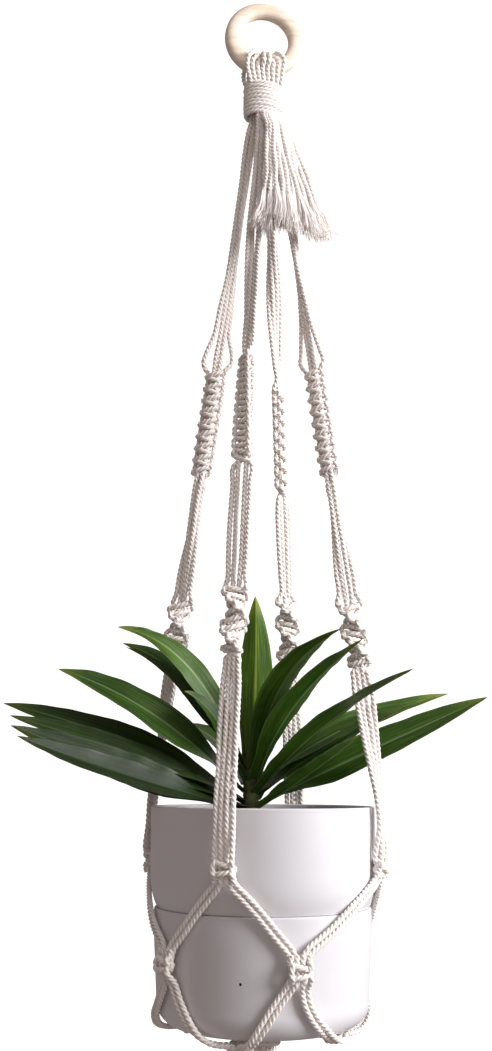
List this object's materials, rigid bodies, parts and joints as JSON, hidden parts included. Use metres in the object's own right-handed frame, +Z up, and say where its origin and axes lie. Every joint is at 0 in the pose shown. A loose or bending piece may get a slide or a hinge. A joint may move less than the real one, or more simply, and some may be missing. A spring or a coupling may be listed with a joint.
{
  "type": "hanging planter",
  "caption": "Knotted cotton rope hanger on a wooden ring, with a tassel, carrying a round white self-watering pot with a strap-leaved plant.",
  "frame": {"origin": "hook seat: the inner top of the wooden ring, on the hanger's centre line", "axes": "+Z up along the hanger, +X across the ring's face, -Y towards the ring's front face"},
  "size_m": [0.3994, 0.1995, 0.9145],
  "materials": {
    "beech_ring": "sanded pale beech, unvarnished",
    "cotton_rope": "three-ply twisted cotton, natural cream, matt",
    "white_plastic": "satin moulded plastic",
    "potting_mix": "dark crumbly potting mix",
    "cane": "green-brown plant stem",
    "leaf": "dark green strap leaf with pale margins, slight gloss"
  },
  "bodies": {
    "ring": {"wooden_ring": "beech_ring"},
    "hanger": {"head_loops": "cotton_rope", "top_wrap": "cotton_rope", "front_under_cords": "cotton_rope", "right_under_cords": "cotton_rope", "back_under_cords": "cotton_rope", "left_under_cords": "cotton_rope", "front_right_knot": "cotton_rope", "front_to_front_right_cords": "cotton_rope", "front_right_to_front_base_cords": "cotton_rope", "right_to_front_right_cords": "cotton_rope", "front_right_to_right_base_cords": "cotton_rope", "back_right_knot": "cotton_rope", "right_to_back_right_cords": "cotton_rope", "back_right_to_right_base_cords": "cotton_rope", "back_to_back_right_cords": "cotton_rope", "back_right_to_back_base_cords": "cotton_rope", "back_left_knot": "cotton_rope", "back_to_back_left_cords": "cotton_rope", "back_left_to_back_base_cords": "cotton_rope", "left_to_back_left_cords": "cotton_rope", "back_left_to_left_base_cords": "cotton_rope", "front_left_knot": "cotton_rope", "front_to_front_left_cords": "cotton_rope", "front_left_to_front_base_cords": "cotton_rope", "left_to_front_left_cords": "cotton_rope", "front_left_to_left_base_cords": "cotton_rope", "base_knot": "cotton_rope"},
    "front_leg": {"front_upper_cords": "cotton_rope", "front_knot_band": "cotton_rope", "front_middle_cords": "cotton_rope", "front_lower_cords": "cotton_rope"},
    "right_leg": {"right_upper_cords": "cotton_rope", "right_knot_band": "cotton_rope", "right_middle_cords": "cotton_rope", "right_lower_cords": "cotton_rope"},
    "back_leg": {"back_upper_cords": "cotton_rope", "back_knot_band": "cotton_rope", "back_middle_cords": "cotton_rope", "back_lower_cords": "cotton_rope"},
    "left_leg": {"left_upper_cords": "cotton_rope", "left_knot_band": "cotton_rope", "left_middle_cords": "cotton_rope", "left_lower_cords": "cotton_rope"},
    "tassel": {"tassel": "cotton_rope"},
    "cup": {"water_cup": "white_plastic"},
    "pot": {"pot": "white_plastic", "soil": "potting_mix", "stem": "cane", "leaf_left_top": "leaf", "leaf_left_upper": "leaf", "leaf_left_middle": "leaf", "leaf_left_lower": "leaf", "leaf_left_low": "leaf", "leaf_right_top": "leaf", "leaf_right_upper": "leaf", "leaf_right_middle": "leaf", "leaf_back_right": "leaf", "leaf_right_lower": "leaf", "leaf_upright": "leaf"}
  },
  "joints": [
    {"name": "hanger_swing", "type": "hinge", "parent": "ring", "child": "hanger", "pos_m": [0, 0, -0.053], "axis": [1, 0, 0], "range_deg": [-25, 25]},
    {"name": "front_leg_spread", "type": "hinge", "parent": "hanger", "child": "front_leg", "pos_m": [-0.00468, -0.00918, -0.1078], "axis": [-0.891, 0.454, 0], "range_deg": [0, 1.7]},
    {"name": "right_leg_spread", "type": "hinge", "parent": "hanger", "child": "right_leg", "pos_m": [0.00918, -0.00468, -0.1078], "axis": [-0.454, -0.891, 0], "range_deg": [0, 1.7]},
    {"name": "back_leg_spread", "type": "hinge", "parent": "hanger", "child": "back_leg", "pos_m": [0.00468, 0.00918, -0.1078], "axis": [0.891, -0.454, 0], "range_deg": [0, 1.7]},
    {"name": "left_leg_spread", "type": "hinge", "parent": "hanger", "child": "left_leg", "pos_m": [-0.00918, 0.00468, -0.1078], "axis": [0.454, 0.891, 0], "range_deg": [0, 1.7]},
    {"name": "tassel_lift", "type": "hinge", "parent": "hanger", "child": "tassel", "pos_m": [0.00581, -0.01597, -0.1078], "axis": [-0.9397, -0.342, 0], "range_deg": [0, 25]},
    {"name": "cup_lift", "type": "slide", "parent": "hanger", "child": "cup", "axis": [0, 0, 1], "range_m": [0, 0.09]},
    {"name": "pot_lift", "type": "slide", "parent": "cup", "child": "pot", "axis": [0, 0, 1], "range_m": [0, 0.025]}
  ],
  "couplings": [
    {"joint": "front_leg_spread", "follows": "cup_lift", "rad_per_m": 0.32},
    {"joint": "right_leg_spread", "follows": "cup_lift", "rad_per_m": 0.32},
    {"joint": "back_leg_spread", "follows": "cup_lift", "rad_per_m": 0.32},
    {"joint": "left_leg_spread", "follows": "cup_lift", "rad_per_m": 0.32}
  ]
}
